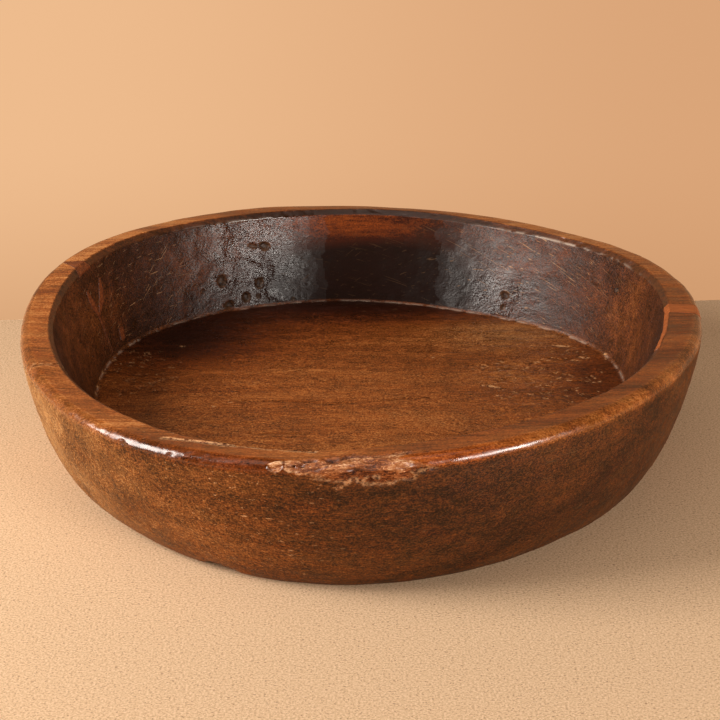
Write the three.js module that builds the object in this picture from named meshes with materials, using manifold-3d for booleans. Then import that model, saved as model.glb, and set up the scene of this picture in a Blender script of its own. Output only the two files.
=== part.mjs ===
// A carved wooden bowl: one thick block hollowed by hand, with old splits made good by small fillings.
// Millimetres, +Z up. The origin is under the middle of the rim, on the surface that the bowl stands on.
// Everything is first made on a round block. Slow swells then turn that into the hand-cut shape.
import * as THREE from 'three';
import { mergeVertices } from 'three/addons/utils/BufferGeometryUtils.js';
import Module from 'manifold-3d';

const wasm = await Module();
wasm.setup();

// Driving dimensions of the round block
const rimRadius = 260;
const rimHeight = 110;
const rimWidth = 22.3;
const outerEdgeRound = 4;
const innerEdgeRound = 1.5;
const floorRadius = 216;
const floorHeight = 30;
const baseRadius = 221.5;

const edgeRadius = rimRadius - rimWidth;

// Outer wall: a full belly that stands upright at the rim and turns in quickly at the base
const bellyPower = 1.6;
const footPower = 0.65;
const wallSteps = 9;
const stepCrowding = 1.7;
const roundSteps = 4;
const turns = 60;

// Slow swells of the hand-cut shape: how many lobes go round, their size, and where a crest points
const rimSwells = [
  { lobes: 2, size: 1, bearing: 65 },
  { lobes: 3, size: 2.6, bearing: 15 },
];
const edgeSwells = [
  { lobes: 1, size: 2, bearing: 89 },
  { lobes: 2, size: 1.1, bearing: 69 },
];
const floorSwells = [
  { lobes: 2, size: 3.9, bearing: -26 },
  { lobes: 3, size: 3.8, bearing: 15 },
  { lobes: 4, size: 3.4, bearing: 48 },
];
const baseSwells = [
  { lobes: 2, size: 4.4, bearing: 52 },
  { lobes: 3, size: 4.3, bearing: -52 },
  { lobes: 4, size: 5.3, bearing: -9 },
];

// The block warped as it dried, so the rim stands higher on one diagonal than on the other
const warpLifts = [
  { lobes: 2, size: 4.8, bearing: -32 },
  { lobes: 3, size: 1.1, bearing: 51 },
];

// Fillings: each sits in a pocket with this clearance all round
const clearance = 0.3;
const rimFillDepth = 8;
const wallFillDepth = 6;
const overshoot = 12;

const rightBand = { bearing: -4, width: 19 };
const rightStrip = { width: 5, from: -24, to: -6, steps: 5 };
const leftPatch = [
  { bearing: 159.5, radius: 233 },
  { bearing: 165.5, radius: 233 },
  { bearing: 161, radius: 257 },
];

const splitFoot = { bearing: 158.3, height: 35, width: 3.4 };
const splitJoint = { bearing: 160.8, height: 71, width: 3.8 };
const splitTop = { bearing: 163, height: 91, width: 2.6 };
const splitElbow = { bearing: 157.4, height: 79, width: 3 };
const splitTwig = { bearing: 156.9, height: 95, width: 2.4 };

const plug = { bearing: 153, height: 42.5, width: 7.5, tall: 12 };

const bowlWood = { color: '#5f3a22', roughness: 0.38, metalness: 0 };
const fillWood = { color: '#b5622c', roughness: 0.6, metalness: 0 };

const radians = THREE.MathUtils.degToRad;
const degrees = THREE.MathUtils.radToDeg;
const lerp = THREE.MathUtils.lerp;
const clamp = THREE.MathUtils.clamp;

function swellAt(swells, bearing) {
  let total = 0;
  for (const swell of swells) {
    total += swell.size * Math.cos(swell.lobes * (bearing - radians(swell.bearing)));
  }
  return total;
}

// How far the outer wall has spread from the base towards the rim at a height, from 0 to 1
function wallSpread(height) {
  const rise = clamp(height / (rimHeight - outerEdgeRound), 0, 1);
  return (1 - (1 - rise) ** bellyPower) ** footPower;
}

// Share of the inner wall's height, from 0 at the floor to 1 at the rim
function innerRise(height) {
  return clamp((height - floorHeight) / (rimHeight - floorHeight), 0, 1);
}

// Radius of the hand-cut shape where the round block has a given radius and height
function cutRadius(radius, height, bearing) {
  const spread = wallSpread(height);
  const outside = lerp(baseRadius, rimRadius, spread);
  const outsideSwell = lerp(swellAt(baseSwells, bearing), swellAt(rimSwells, bearing), spread);
  const rise = innerRise(height);
  const inside = lerp(floorRadius, edgeRadius, rise);
  const edgeSwell = swellAt(rimSwells, bearing) + swellAt(edgeSwells, bearing);
  const insideSwell = edgeSwell + (1 - rise) * swellAt(floorSwells, bearing);
  const share = clamp((radius - inside) / (outside - inside), 0, 1);
  const inward = Math.min(1, radius / inside);
  return radius + inward * lerp(insideSwell, outsideSwell, share);
}

// The rim's middle after the swells, which is moved to the origin
function rimMiddle() {
  const box = new THREE.Box2();
  for (let turn = 0; turn < turns; turn += 1) {
    const bearing = (2 * Math.PI * turn) / turns;
    const radius = cutRadius(rimRadius, rimHeight, bearing);
    box.expandByPoint(new THREE.Vector2(radius * Math.cos(bearing), radius * Math.sin(bearing)));
  }
  return box.getCenter(new THREE.Vector2());
}

// Turns a solid made on the round block into its hand-cut and warped shape, as a mesh geometry
function handCut(solid, middle) {
  const mesh = solid.getMesh();
  const places = new Float32Array(mesh.vertProperties);
  for (let at = 0; at < places.length; at += 3) {
    const [x, y, height] = places.subarray(at, at + 3);
    const bearing = Math.atan2(y, x);
    const radius = cutRadius(Math.hypot(x, y), height, bearing);
    places[at] = radius * Math.cos(bearing) - middle.x;
    places[at + 1] = radius * Math.sin(bearing) - middle.y;
    places[at + 2] = height + swellAt(warpLifts, bearing) * innerRise(height);
  }
  const geometry = new THREE.BufferGeometry();
  geometry.setAttribute('position', new THREE.BufferAttribute(places, 3));
  geometry.setIndex(new THREE.BufferAttribute(new Uint32Array(mesh.triVerts), 1));
  geometry.computeVertexNormals();
  return geometry;
}

function solidOf(geometry) {
  const bare = geometry.clone();
  bare.deleteAttribute('normal');
  bare.deleteAttribute('uv');
  const merged = mergeVertices(bare, 1e-4);
  return new wasm.Manifold(new wasm.Mesh({
    numProp: 3,
    vertProperties: new Float32Array(merged.attributes.position.array),
    triVerts: new Uint32Array(merged.index.array),
  }));
}

// Section through the block from the middle of the base, round the rim, to the middle of the floor
function sectionPoints() {
  const points = [new THREE.Vector2(0, 0)];
  const wallTop = rimHeight - outerEdgeRound;
  for (let step = 0; step <= wallSteps; step += 1) {
    const height = wallTop * (step / wallSteps) ** stepCrowding;
    points.push(new THREE.Vector2(lerp(baseRadius, rimRadius, wallSpread(height)), height));
  }
  for (let step = 1; step <= roundSteps; step += 1) {
    const angle = (Math.PI / 2) * (step / roundSteps);
    points.push(new THREE.Vector2(
      rimRadius - outerEdgeRound * (1 - Math.cos(angle)),
      wallTop + outerEdgeRound * Math.sin(angle),
    ));
  }
  points.push(new THREE.Vector2(edgeRadius + innerEdgeRound, rimHeight));
  points.push(new THREE.Vector2(edgeRadius, rimHeight - innerEdgeRound));
  points.push(new THREE.Vector2(floorRadius, floorHeight));
  points.push(new THREE.Vector2(0, floorHeight));
  return points;
}

function roundBlock() {
  const lathe = new THREE.LatheGeometry(sectionPoints(), turns);
  lathe.rotateX(Math.PI / 2);
  return solidOf(lathe);
}

function planPoint(bearing, radius) {
  return new THREE.Vector2(radius * Math.cos(radians(bearing)), radius * Math.sin(radians(bearing)));
}

// An upright prism through the rim, from a plan outline, reaching the filling's depth
function throughRim(outline, extra) {
  const prism = new THREE.ExtrudeGeometry(new THREE.Shape(outline), {
    depth: rimFillDepth + extra + overshoot,
    bevelEnabled: false,
  });
  prism.translate(0, 0, rimHeight - rimFillDepth - extra);
  return solidOf(prism);
}

// Band straight across the right rim
function rightBandShape(extra) {
  const half = rightBand.width / 2 + extra;
  const middle = rimRadius * Math.sin(radians(rightBand.bearing));
  const inside = edgeRadius - overshoot;
  const outside = rimRadius + overshoot;
  return throughRim([
    new THREE.Vector2(inside, middle - half),
    new THREE.Vector2(outside, middle - half),
    new THREE.Vector2(outside, middle + half),
    new THREE.Vector2(inside, middle + half),
  ], extra);
}

// Narrow strip that runs from the band along the rim's inner edge
function rightStripShape(extra) {
  const outside = edgeRadius + rightStrip.width + extra;
  const inside = edgeRadius - overshoot;
  const from = rightStrip.from - degrees(extra / outside);
  const outerSide = [];
  const innerSide = [];
  for (let step = 0; step <= rightStrip.steps; step += 1) {
    const bearing = lerp(from, rightStrip.to, step / rightStrip.steps);
    outerSide.push(planPoint(bearing, outside));
    innerSide.unshift(planPoint(bearing, inside));
  }
  return throughRim([...outerSide, ...innerSide], extra);
}

function rightRimShape(extra) {
  return rightBandShape(extra).add(rightStripShape(extra));
}

// Three-cornered patch let into the left rim at its inner edge
function leftRimShape(extra) {
  const corners = leftPatch.map((corner) => planPoint(corner.bearing, corner.radius));
  const middle = new THREE.Vector2();
  corners.forEach((corner) => middle.addScaledVector(corner, 1 / corners.length));
  const outline = corners.map((corner) => {
    const away = corner.clone().sub(middle).normalize();
    return corner.clone().addScaledVector(away, 2 * extra);
  });
  return throughRim(outline, extra);
}

// A prism through the inner wall: its outline is across and up the wall, and it goes in along the radius
function throughWall(outline, bearing, extra) {
  const prism = new THREE.ExtrudeGeometry(new THREE.Shape(outline), {
    depth: wallFillDepth + extra + overshoot,
    bevelEnabled: false,
  });
  const wallRadius = (floorRadius + edgeRadius) / 2;
  prism.translate(0, 0, -(wallRadius + wallFillDepth + extra));
  prism.rotateX(Math.PI / 2);
  prism.rotateZ(radians(bearing - 90));
  return solidOf(prism);
}

// A tapered bar of the split between two places on the wall
function splitBar(from, to, extra) {
  const across = (place) => floorRadius * radians(splitJoint.bearing - place.bearing);
  const start = new THREE.Vector2(across(from), from.height);
  const end = new THREE.Vector2(across(to), to.height);
  const along = end.clone().sub(start).normalize();
  const side = new THREE.Vector2(-along.y, along.x);
  start.addScaledVector(along, -extra - from.width / 4);
  end.addScaledVector(along, extra + to.width / 4);
  return throughWall([
    start.clone().addScaledVector(side, -(from.width / 2 + extra)),
    end.clone().addScaledVector(side, -(to.width / 2 + extra)),
    end.clone().addScaledVector(side, to.width / 2 + extra),
    start.clone().addScaledVector(side, from.width / 2 + extra),
  ], splitJoint.bearing, extra);
}

// Forked split up the left wall: a stem from the floor, with a straight branch and a bent one
function leftSplitShape(extra) {
  return splitBar(splitFoot, splitJoint, extra)
    .add(splitBar(splitJoint, splitTop, extra))
    .add(splitBar(splitJoint, splitElbow, extra))
    .add(splitBar(splitElbow, splitTwig, extra));
}

// Small oval plug low on the left wall
function plugShape(extra) {
  const outline = new THREE.Shape();
  outline.absellipse(0, plug.height, plug.width / 2 + extra, plug.tall / 2 + extra, 0, 2 * Math.PI);
  return throughWall(outline.getPoints(4).slice(0, -1), plug.bearing, extra);
}

function namedMesh(name, solid, look, middle) {
  const mesh = new THREE.Mesh(handCut(solid, middle), new THREE.MeshStandardMaterial(look));
  mesh.name = name;
  return mesh;
}

function buildBowl() {
  const fillings = {
    right_rim_fill: rightRimShape,
    left_rim_fill: leftRimShape,
    left_split_fill: leftSplitShape,
    left_wall_plug: plugShape,
  };
  const middle = rimMiddle();
  const block = roundBlock();
  const bowl = new THREE.Group();
  let body = block;
  for (const [name, shape] of Object.entries(fillings)) {
    bowl.add(namedMesh(name, block.intersect(shape(0)), fillWood, middle));
    body = body.subtract(shape(clearance));
  }
  bowl.add(namedMesh('bowl_body', body, bowlWood, middle));
  return bowl;
}

const group = buildBowl();

export default group;
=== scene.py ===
"""A hand-carved wooden bowl: dark polished hardwood with old splits, insect holes and a splintered edge.

Shapes are worked out in millimetres on the carving's own centre and written to Blender in metres.
A bearing is an angle seen from above, from +X towards +Y. A station is a distance in millimetres along
the wall's section, from the middle of the base, up the outside, over the rim and down to the middle of
the floor.
"""

import bpy
import numpy as np
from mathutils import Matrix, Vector


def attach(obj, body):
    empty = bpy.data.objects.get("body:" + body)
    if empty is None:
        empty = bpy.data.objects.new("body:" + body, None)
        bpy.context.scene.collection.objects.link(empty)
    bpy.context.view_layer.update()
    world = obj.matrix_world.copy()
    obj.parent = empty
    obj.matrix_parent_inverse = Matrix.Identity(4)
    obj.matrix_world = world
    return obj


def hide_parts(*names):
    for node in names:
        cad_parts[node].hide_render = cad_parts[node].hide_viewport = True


MM = 0.001

# Driving dimensions of the round block, in millimetres, as in the CAD
RIM_RADIUS = 260.0
RIM_HEIGHT = 110.0
RIM_WIDTH = 22.3
EDGE_RADIUS = RIM_RADIUS - RIM_WIDTH
CAD_EDGE_ROUND = 4.0
FLOOR_RADIUS = 216.0
FLOOR_HEIGHT = 30.0
BASE_RADIUS = 221.5
BELLY_POWER = 1.6
FOOT_POWER = 0.65
CARVING_MIDDLE = Vector((-1.85, 1.84, 0.0))

# Finer shape of the section. The front of the rim is worn round and the back is crisper: outer rounding,
# height of the crest above the outer edge, and the chamfer of the inner edge across and down
FRONT_RIM = {"rounding": 7.0, "crest": 0.4, "across": 2.6, "down": 2.6}
BACK_RIM = {"rounding": 3.6, "crest": 1.5, "across": 3.6, "down": 2.6}
EDGE_SPARE = {"front": 1.0, "back": 0.6}
CORNER_ROUND = 3.0

# Slow swells of the hand-cut shape: (lobes round the bowl, size, bearing of a crest)
RIM_SWELLS = ((2, 1.0, 65), (3, 2.6, 15), (4, 0.5, 39), (5, 0.85, 12))
EDGE_SWELLS = ((1, 2.0, 89), (2, 1.1, 69), (3, 0.8, 60), (5, 0.8, 21), (6, 1.7, 22))
FLOOR_SWELLS = ((1, 1.5, -131), (2, 3.9, -26), (3, 3.8, 15), (4, 3.4, 48), (5, 2.4, 27.5))
BASE_SWELLS = ((2, 4.4, 52), (3, 4.3, -52), (4, 5.3, -9))
WARP_LIFTS = ((1, 0.6, 19), (2, 4.8, -32), (3, 1.1, 51))

# Mesh density
RING_POINTS = 1200
SEAM = np.radians(-90.0)
FRONT = -95.0


# ---- small mathematics

def smooth(low, high, value):
    """0 below low, 1 above high, and a smooth step between them. Low may be the larger."""
    share = np.clip((value - low) / (high - low), 0.0, 1.0)
    return share * share * (3.0 - 2.0 * share)


def between(value, low, high, soft):
    """1 between low and high, falling to 0 over a soft border."""
    return smooth(low - soft, low + soft, value) * smooth(high + soft, high - soft, value)


def bell(value, size):
    return np.exp(-((value / size) ** 2))


def swell(swells, bearing):
    return sum(size * np.cos(lobes * (bearing - np.radians(crest))) for lobes, size, crest in swells)


def turned(bearing, start):
    """Angle in radians from a start bearing in degrees, the short way round."""
    return (bearing - np.radians(start) + np.pi) % (2.0 * np.pi) - np.pi


def near(bearing, middle, half_width):
    """A soft share round a bearing, with the middle and half width in degrees."""
    return bell(turned(bearing, middle), np.radians(half_width))


SHUFFLE = np.random.default_rng(11).permutation(1024)
LEVELS = np.random.default_rng(12).uniform(-1.0, 1.0, 1024)


def lattice(x, y, z):
    """A fixed random number from -1 to 1 for each whole-number place."""
    return LEVELS[SHUFFLE[(SHUFFLE[(SHUFFLE[x & 1023] + y) & 1023] + z) & 1023]]


def noise(place, size, seed=0, octaves=1):
    """Smooth noise from about -1 to 1. Size is the grain's length in mm, or one length for each axis."""
    total = np.zeros(len(place))
    weight = 0.0
    scaled = place / np.asarray(size, float) + 17.3 * seed
    for octave in range(octaves):
        cell = np.floor(scaled).astype(np.int64)
        part = scaled - cell
        part = part * part * part * (part * (part * 6.0 - 15.0) + 10.0)
        value = np.zeros(len(place))
        for corner in range(8):
            step = np.array((corner & 1, corner >> 1 & 1, corner >> 2 & 1))
            share = np.prod(np.where(step, part, 1.0 - part), axis=1)
            x, y, z = (cell + step).T
            value += share * lattice(x, y, z)
        total += value * 0.5 ** octave
        weight += 0.5 ** octave
        scaled = scaled * 2.03 + 5.7
    return 1.6 * total / weight


def scattered(across, along, seed):
    """Distance to the nearest of one random point in each unit square, and that point's own number."""
    column = np.floor(across).astype(np.int64)
    row = np.floor(along).astype(np.int64)
    nearest = np.full(across.shape, 9.0)
    owner = np.zeros(across.shape)
    for right in (-1, 0, 1):
        for up in (-1, 0, 1):
            x = column + right
            y = row + up
            gap_x = x + 0.5 + 0.45 * lattice(x, y, seed) - across
            gap_y = y + 0.5 + 0.45 * lattice(x, y, seed + 1) - along
            gap = gap_x * gap_x + gap_y * gap_y
            owner = np.where(gap < nearest, lattice(x, y, seed + 2), owner)
            nearest = np.minimum(gap, nearest)
    return np.sqrt(nearest), owner


def line_gap(x, y, points):
    """Distance from places to a line through a few points, and how far along it they are, from 0 to 1."""
    best = np.full(x.shape, 1e6)
    along = np.zeros(x.shape)
    count = len(points) - 1
    for leg in range(count):
        (ax, ay), (bx, by) = points[leg], points[leg + 1]
        run_x = bx - ax
        run_y = by - ay
        share = ((x - ax) * run_x + (y - ay) * run_y) / (run_x * run_x + run_y * run_y)
        share = np.clip(share, 0.0, 1.0)
        gap = np.hypot(x - ax - share * run_x, y - ay - share * run_y)
        along = np.where(gap < best, (leg + share) / count, along)
        best = np.minimum(best, gap)
    return best, along


# ---- the section on the round block

def wall_spread(height):
    rise = np.clip(height / (RIM_HEIGHT - CAD_EDGE_ROUND), 0.0, 1.0)
    return (1.0 - (1.0 - rise) ** BELLY_POWER) ** FOOT_POWER


def inner_rise(height):
    return np.clip((height - FLOOR_HEIGHT) / (RIM_HEIGHT - FLOOR_HEIGHT), 0.0, 1.0)


def inner_reach(height):
    return FLOOR_RADIUS + (EDGE_RADIUS - FLOOR_RADIUS) * inner_rise(height)


def section_rows(rim, spare):
    """Rows of (radius, height, rim share, edge share, floor share, base share) and the named stretches.
    A rounded edge stands out by a little spare, so that its outline keeps the size of the sharp one."""
    rows = []
    ends = []

    def stretch(name, radius, height, rim_share, edge, floor, base):
        parts = np.broadcast_arrays(radius, height, rim_share, edge, floor, base)
        rows.extend(np.stack(parts, axis=1).astype(float).tolist())
        ends.append((name, len(rows) - 1))

    share = np.linspace(0.0, 1.0, 200)
    stretch("base", BASE_RADIUS * share, 0.0, 0.0, 0.0, 0.0, share)

    top = RIM_HEIGHT + spare - rim["rounding"]
    height = top * share[1:] ** 1.5
    spread = wall_spread(height)
    radius = BASE_RADIUS + (RIM_RADIUS + spare - BASE_RADIUS) * spread
    stretch("outside", radius, height, spread, 0.0, 0.0, 1.0 - spread)

    angle = np.linspace(0.0, np.pi / 2, 40)[1:]
    reach = radius[-1] - rim["rounding"]
    edge_radius = reach + rim["rounding"] * np.cos(angle)
    stretch("outer_edge", edge_radius, top + rim["rounding"] * np.sin(angle), 1, 0, 0, 0)

    inward = np.linspace(0.0, 1.0, 40)[1:]
    crest_radius = EDGE_RADIUS + rim["across"]
    crest = RIM_HEIGHT + rim["crest"]
    rise = np.sin(inward * np.pi / 2)
    stretch("top", reach + (crest_radius - reach) * inward,
            RIM_HEIGHT + spare + (crest - RIM_HEIGHT - spare) * rise, 1, inward, 0, 0)

    down = crest - rim["down"] - rim["crest"]
    foot = inner_reach(down)
    chamfer_radius = crest_radius + (foot - crest_radius) * inward
    stretch("chamfer", chamfer_radius, crest + (down - crest) * inward, 1, 1, 0, 0)

    corner_top = FLOOR_HEIGHT + CORNER_ROUND
    height = down + (corner_top - down) * share[1:]
    stretch("inside", inner_reach(height), height, 1, 1, 1.0 - inner_rise(height), 0)

    radius = inner_reach(corner_top) - CORNER_ROUND
    angle = np.linspace(0.0, np.pi / 2, 20)[1:]
    height = corner_top - CORNER_ROUND * np.sin(angle)
    stretch("corner", radius + CORNER_ROUND * np.cos(angle), height, 1, 1, 1, 0)

    left = 1.0 - share[1:]
    stretch("floor", radius * left, FLOOR_HEIGHT, left, left, left, 0)
    return np.array(rows), ends


FRONT_SECTION, STRETCH_ENDS = section_rows(FRONT_RIM, EDGE_SPARE["front"])
BACK_SECTION = section_rows(BACK_RIM, EDGE_SPARE["back"])[0]
STEPS = np.hypot(np.diff(FRONT_SECTION[:, 0]), np.diff(FRONT_SECTION[:, 1]))
STATIONS = np.concatenate(((0.0,), np.cumsum(STEPS)))
END = {name: STATIONS[row] for name, row in STRETCH_ENDS}


def front_share(bearing):
    """1 along the worn front of the rim, 0 round the back."""
    return smooth(np.radians(115.0), np.radians(70.0), np.abs(turned(bearing, -90.0)))


def smooth_place(bearing, station):
    """Place on the bowl before its fine relief, in millimetres."""
    front = front_share(bearing)
    columns = []
    for worn, crisp in zip(FRONT_SECTION.T, BACK_SECTION.T):
        crisp_value = np.interp(station, STATIONS, crisp)
        columns.append(crisp_value + front * (np.interp(station, STATIONS, worn) - crisp_value))
    radius, height, rim, edge, floor, base = columns
    radius = radius + rim * swell(RIM_SWELLS, bearing) + edge * swell(EDGE_SWELLS, bearing)
    radius = radius + floor * swell(FLOOR_SWELLS, bearing) + base * swell(BASE_SWELLS, bearing)
    lift = inner_rise(height) * swell(WARP_LIFTS, bearing)
    return np.stack((radius * np.cos(bearing), radius * np.sin(bearing), height + lift), axis=1)


def smooth_normal(bearing, station):
    turn = 0.002
    step = 0.35
    along = smooth_place(bearing + turn, station) - smooth_place(bearing - turn, station)
    across = smooth_place(bearing, station + step) - smooth_place(bearing, station - step)
    normal = np.cross(along, across)
    return normal / np.linalg.norm(normal, axis=1, keepdims=True)


def inside_station(bearing, height):
    """Station on the inner wall at a real height."""
    lift = swell(WARP_LIFTS, bearing) / (RIM_HEIGHT - FLOOR_HEIGHT)
    block_height = (height + FLOOR_HEIGHT * lift) / (1.0 + lift)
    first = RIM_HEIGHT - FRONT_RIM["down"]
    last = FLOOR_HEIGHT + CORNER_ROUND
    share = (first - block_height) / (first - last)
    return END["chamfer"] + share * (END["inside"] - END["chamfer"])


# ---- fillings: where they lie

# Radii that turn a bearing into a distance round the rim or round the wall
RIM_TURN = 250.0
WALL_TURN = 228.0
BED_DEPTH = 2.5
PLATE_DEPTH = 1.6

BAND_BEARING = -4.0
BAND_WIDTH = 19.0
STRIP_START = -24.5
STRIP_END = -6.0

SPLIT_LINES = (
    ((158.3, 35.0, 1.6), (159.8, 55.0, 2.0), (160.8, 71.0, 4.0), (162.2, 82.0, 7.6), (163.3, 94.0, 4.2)),
    ((160.5, 70.0, 2.4), (158.2, 80.0, 8.4), (157.4, 88.0, 7.4), (157.0, 97.0, 3.2)),
)
PLUG = (153.0, 42.5, 7.5, 12.0)


def round_rim(bearing):
    """Distance round the rim for a bearing in degrees."""
    return np.radians(bearing) * RIM_TURN


def round_wall(bearing):
    return np.radians(bearing) * WALL_TURN


def box_gap(x, y, middle_x, middle_y, width, height, rounding=1.0):
    """Signed distance to a rectangle with rounded corners, below 0 inside it."""
    over_x = np.abs(x - middle_x) - width / 2 + rounding
    over_y = np.abs(y - middle_y) - height / 2 + rounding
    outside = np.hypot(np.maximum(over_x, 0.0), np.maximum(over_y, 0.0))
    return outside + np.minimum(np.maximum(over_x, over_y), 0.0) - rounding


def ragged(gap, x, y, size, amount, seed):
    """The same distance with an uneven edge."""
    place = np.stack((x, y, np.zeros(len(x))), axis=1)
    return gap + amount * noise(place, size, seed, 2)


def right_fill_gap(x, y):
    """x is measured round the rim and y is the station."""
    first = END["outside"] + 1.0
    last = END["chamfer"] + 1.0
    middle = round_rim(BAND_BEARING)
    lean = 0.10 * (y - first)
    band = box_gap(x - lean, y, middle, (first + last) / 2, BAND_WIDTH, last - first)
    start = round_rim(STRIP_START)
    end = round_rim(STRIP_END) + 6.0
    strip = box_gap(x, y, (start + end) / 2, last - 2.4, end - start, 6.0)
    return ragged(np.minimum(band, strip), x, y, (9.0, 4.0, 1.0), 0.5, 3)


def left_patch_gap(x, y):
    inner = END["chamfer"] + 2.0
    corners = ((159.4, inner), (161.2, END["outer_edge"] - 2.0), (165.4, inner))
    corners = [(round_rim(bearing), station) for bearing, station in corners]
    gap = np.full(x.shape, -1e6)
    for start, end in zip(corners, corners[1:] + corners[:1]):
        run = np.array(end) - start
        run /= np.hypot(*run)
        gap = np.maximum(gap, (x - start[0]) * run[1] - (y - start[1]) * run[0])
    return ragged(gap, x, y, (6.0, 4.0, 1.0), 0.5, 4)


def left_split_gap(x, y):
    """x is measured round the inner wall and y is the height."""
    gap = np.full(x.shape, 1e6)
    for line in SPLIT_LINES:
        points = [(round_wall(bearing), height) for bearing, height, _ in line]
        widths = [width for _, _, width in line]
        distance, along = line_gap(x, y, points)
        width = np.interp(along, np.linspace(0.0, 1.0, len(widths)), widths)
        gap = np.minimum(gap, distance - width / 2)
    return ragged(gap, x, y, (4.0, 9.0, 1.0), 0.5, 5)


def left_plug_gap(x, y):
    bearing, height, width, tall = PLUG
    gap = box_gap(x, y, round_wall(bearing), height, width, tall, 2.5)
    return ragged(gap, x, y, 4.0, 0.4, 6)


def filling_gap(bearing, station, height):
    """Signed distance to the nearest filling."""
    bearing = turned(bearing, 0.0)
    rim_x = bearing * RIM_TURN
    wall_x = bearing * WALL_TURN
    gap = np.full(len(bearing), 1e3)
    rim = (station > END["outside"] - 4.0) & (station < END["chamfer"] + 6.0)
    wall = (station > END["chamfer"] + 3.0) & (station < END["inside"] + 1.0)
    for fill in (right_fill_gap, left_patch_gap):
        gap[rim] = np.minimum(gap[rim], fill(rim_x[rim], station[rim]))
    for fill in (left_split_gap, left_plug_gap):
        gap[wall] = np.minimum(gap[wall], fill(wall_x[wall], height[wall]))
    return gap


# ---- relief of the carved surface

# Insect holes and lost knots in the inner wall: (bearing, height, half width, half height, depth)
WALL_PITS = (
    (123.3, 58, 4.2, 6.2, 3.2), (114.3, 51.5, 3.4, 5, 2.6), (117.9, 40, 4, 4.6, 2.8),
    (122.4, 35.5, 4.2, 3.6, 2.4), (112.2, 83.5, 5.2, 3.8, 2), (115, 85, 4.6, 2, 1.3),
    (115, 39.3, 1.8, 2, 1.4), (106.7, 33.5, 1.8, 1.8, 1.2), (128.2, 52, 2, 1.8, 1.2),
    (53, 50, 4.4, 3, 2), (52.8, 39.5, 2.2, 2, 1.2), (24, 84.5, 2.6, 2, 1.2),
)

# Single chips in the floor: (x, y, half length, half width, depth)
FLOOR_CHIPS = (
    (108, 22, 5, 2.0, 1.0), (190, 80, 6, 2.2, 1.0), (173, 106, 8, 2.2, 1.0), (-153, 106, 2.6, 2.2, 0.9),
    (62, 81, 3, 1.4, 0.7), (-115, -15, 2.6, 1.4, 0.6), (-103, -7, 2.8, 1.2, 0.6),
)

# Parts of the floor where the grain is torn: (x, y, half length, half width)
TORN_FLOOR = ((150, 28, 46, 34), (176, 86, 28, 26), (118, 60, 22, 12), (-186, 44, 34, 46))

# Cracks that run through the floor: lines of (x, y)
FLOOR_CRACKS = (
    ((-206, 74), (-175, 59), (-160, 53)),
    ((-202, 51), (-179, 42)),
    ((-205, 39), (-188, 33), (-168, 27)),
    ((-95, -4), (-23, -11), (56, -1)),
    ((-83, -62), (-64, -66), (-38, -64)),
)

# The long crack on the rim: (bearing, radius)
RIM_CRACK = (
    (240.2, 251.5), (243.0, 248.6), (245.7, 246.5), (252.0, 242.8), (258.0, 242.0), (263.5, 243.0),
)
LEFT_CHECK = ((-154.6, 262.0), (-154.0, 252.0), (-153.2, 240.0), (-152.9, 236.0))

SPLINTER_BEARING = -90.0
SPLINTER_REACH = 38.0
SIDE_CHIPS = ((-52.0, 4.5), (-43.0, 3.5))
NOTCH_BEARING = -114.5


def ellipse(x, y, half_x, half_y, lean=0.0):
    """1 at the outline of a leaning ellipse, less inside it."""
    turn = np.radians(lean)
    along = x * np.cos(turn) + y * np.sin(turn)
    across = y * np.cos(turn) - x * np.sin(turn)
    return np.hypot(along / half_x, across / half_y)


def zones(station):
    """How much each place belongs to each stretch of the section."""
    return {
        "outside": between(station, END["base"], END["outside"], 3.0),
        "outer_edge": between(station, END["outside"] - 1.0, END["outer_edge"], 2.0),
        "top": between(station, END["outer_edge"] - 1.0, END["top"], 1.0),
        "chamfer": between(station, END["top"], END["chamfer"], 0.6),
        "inside": between(station, END["chamfer"], END["inside"] + 1.0, 1.0),
        "corner": between(station, END["inside"], END["corner"] + 1.0, 2.0),
        "floor": smooth(END["inside"], END["corner"] + 2.0, station),
    }


def scoops(bearing, place):
    """Overlapping marks of a broad gouge on the inner wall, as depth from 0 to 1."""
    across = bearing * WALL_TURN
    height = place[:, 2]
    wobble = 4.0 * noise(place, 34.0, 21)
    x = (across * 0.94 + height * 0.34 + wobble) / 27.0
    y = (height * 0.94 - across * 0.34 + wobble) / 20.0
    gap, owner = scattered(x, y, 31)
    return np.clip(0.95 - gap * gap * 1.5, -0.4, 1.0) * (0.9 + 0.1 * owner)


def scoop_strength(bearing):
    back_left = near(bearing, 119, 15)
    back_right = near(bearing, 56, 13)
    left = near(bearing, 170, 30)
    return 0.22 + 0.95 * back_left + 0.35 * back_right + 0.1 * left


def splinter_zone(bearing, station, place):
    """Where the front of the rim is torn along the grain, from 0 to 1."""
    x = turned(bearing, SPLINTER_BEARING) * RIM_RADIUS
    y = station - (END["outside"] + 5.0)
    ragged_edge = 0.42 * noise(place, (10, 4, 4), 41, 3)
    torn = (np.abs(x / SPLINTER_REACH) ** 3 + np.abs(y / 12.0) ** 3) ** (1 / 3)
    for middle, half_length in SIDE_CHIPS:
        torn = np.minimum(torn, ellipse(x - middle, y - 1.0, half_length, 4.5))
    return smooth(1.08, 0.84, torn + ragged_edge)


def fibres(place):
    """Torn ends and ridges that run along the grain, from -1 to 1."""
    leaning = turned_place(place, 5.0)
    long = noise(leaning, (22, 4, 4), 44)
    short = noise(leaning, (7, 2.2, 2.2), 45)
    steps = np.round(2.2 * noise(leaning, (13, 5, 5), 46)) / 2.2
    return 0.45 * long + 0.35 * short + 0.4 * steps


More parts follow.
